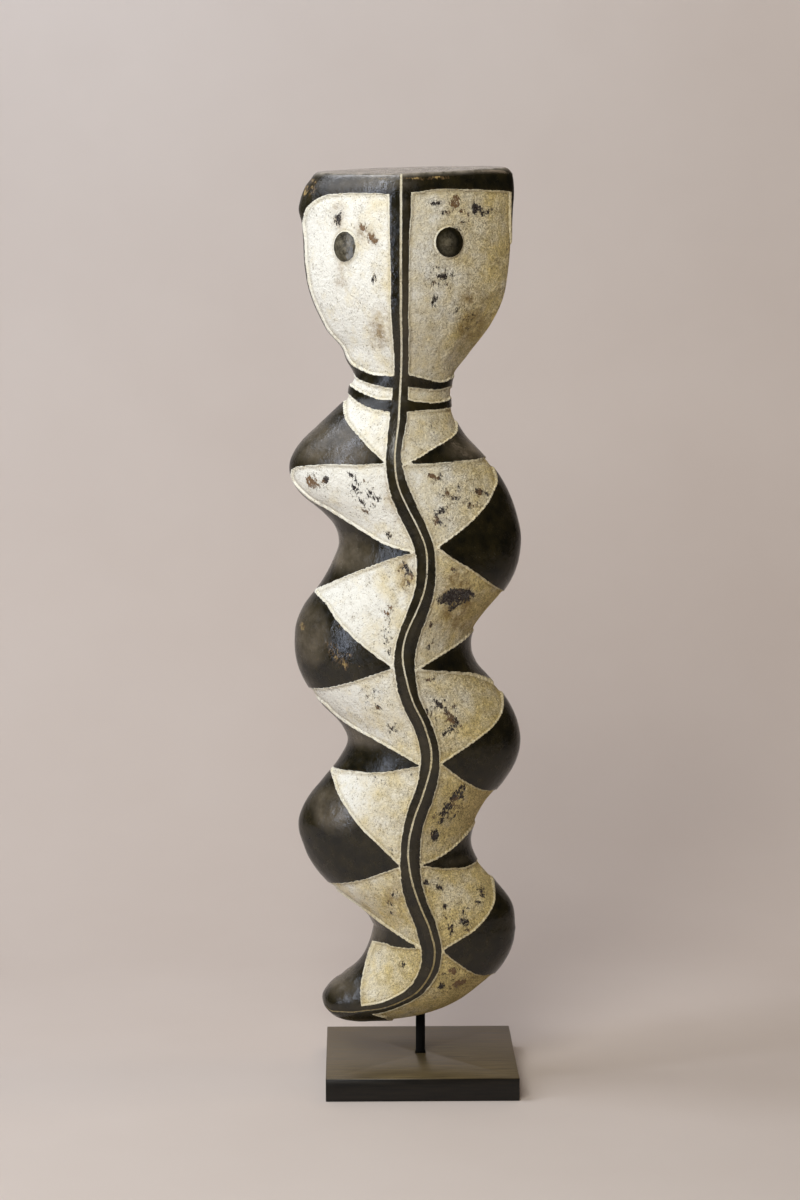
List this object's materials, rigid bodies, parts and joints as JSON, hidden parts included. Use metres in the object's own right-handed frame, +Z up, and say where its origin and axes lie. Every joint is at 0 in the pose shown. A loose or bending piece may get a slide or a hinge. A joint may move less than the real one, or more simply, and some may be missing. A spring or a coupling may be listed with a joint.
{
  "type": "snake headdress on a stand",
  "caption": "Tall carved wooden snake headdress with a flat-topped head and winding two-tone body, held upright by a square bar on a square board",
  "frame": {"origin": "centre of the board's underside", "axes": "+X to the viewer's right as the carved face is seen, +Y to the back, +Z up; the carved face looks towards -Y"},
  "size_m": [0.3958, 0.33, 1.5815],
  "materials": {
    "painted_carving": "worn matte cream paint in sunk fields between raised black-brown areas with a soft sheen",
    "black_steel": "matte black paint",
    "black_board": "black stain with a satin sheen, grain showing"
  },
  "bodies": {
    "root": {"snake_carving": "painted_carving", "mounting_rod": "black_steel", "base_board": "black_board"}
  },
  "joints": []
}
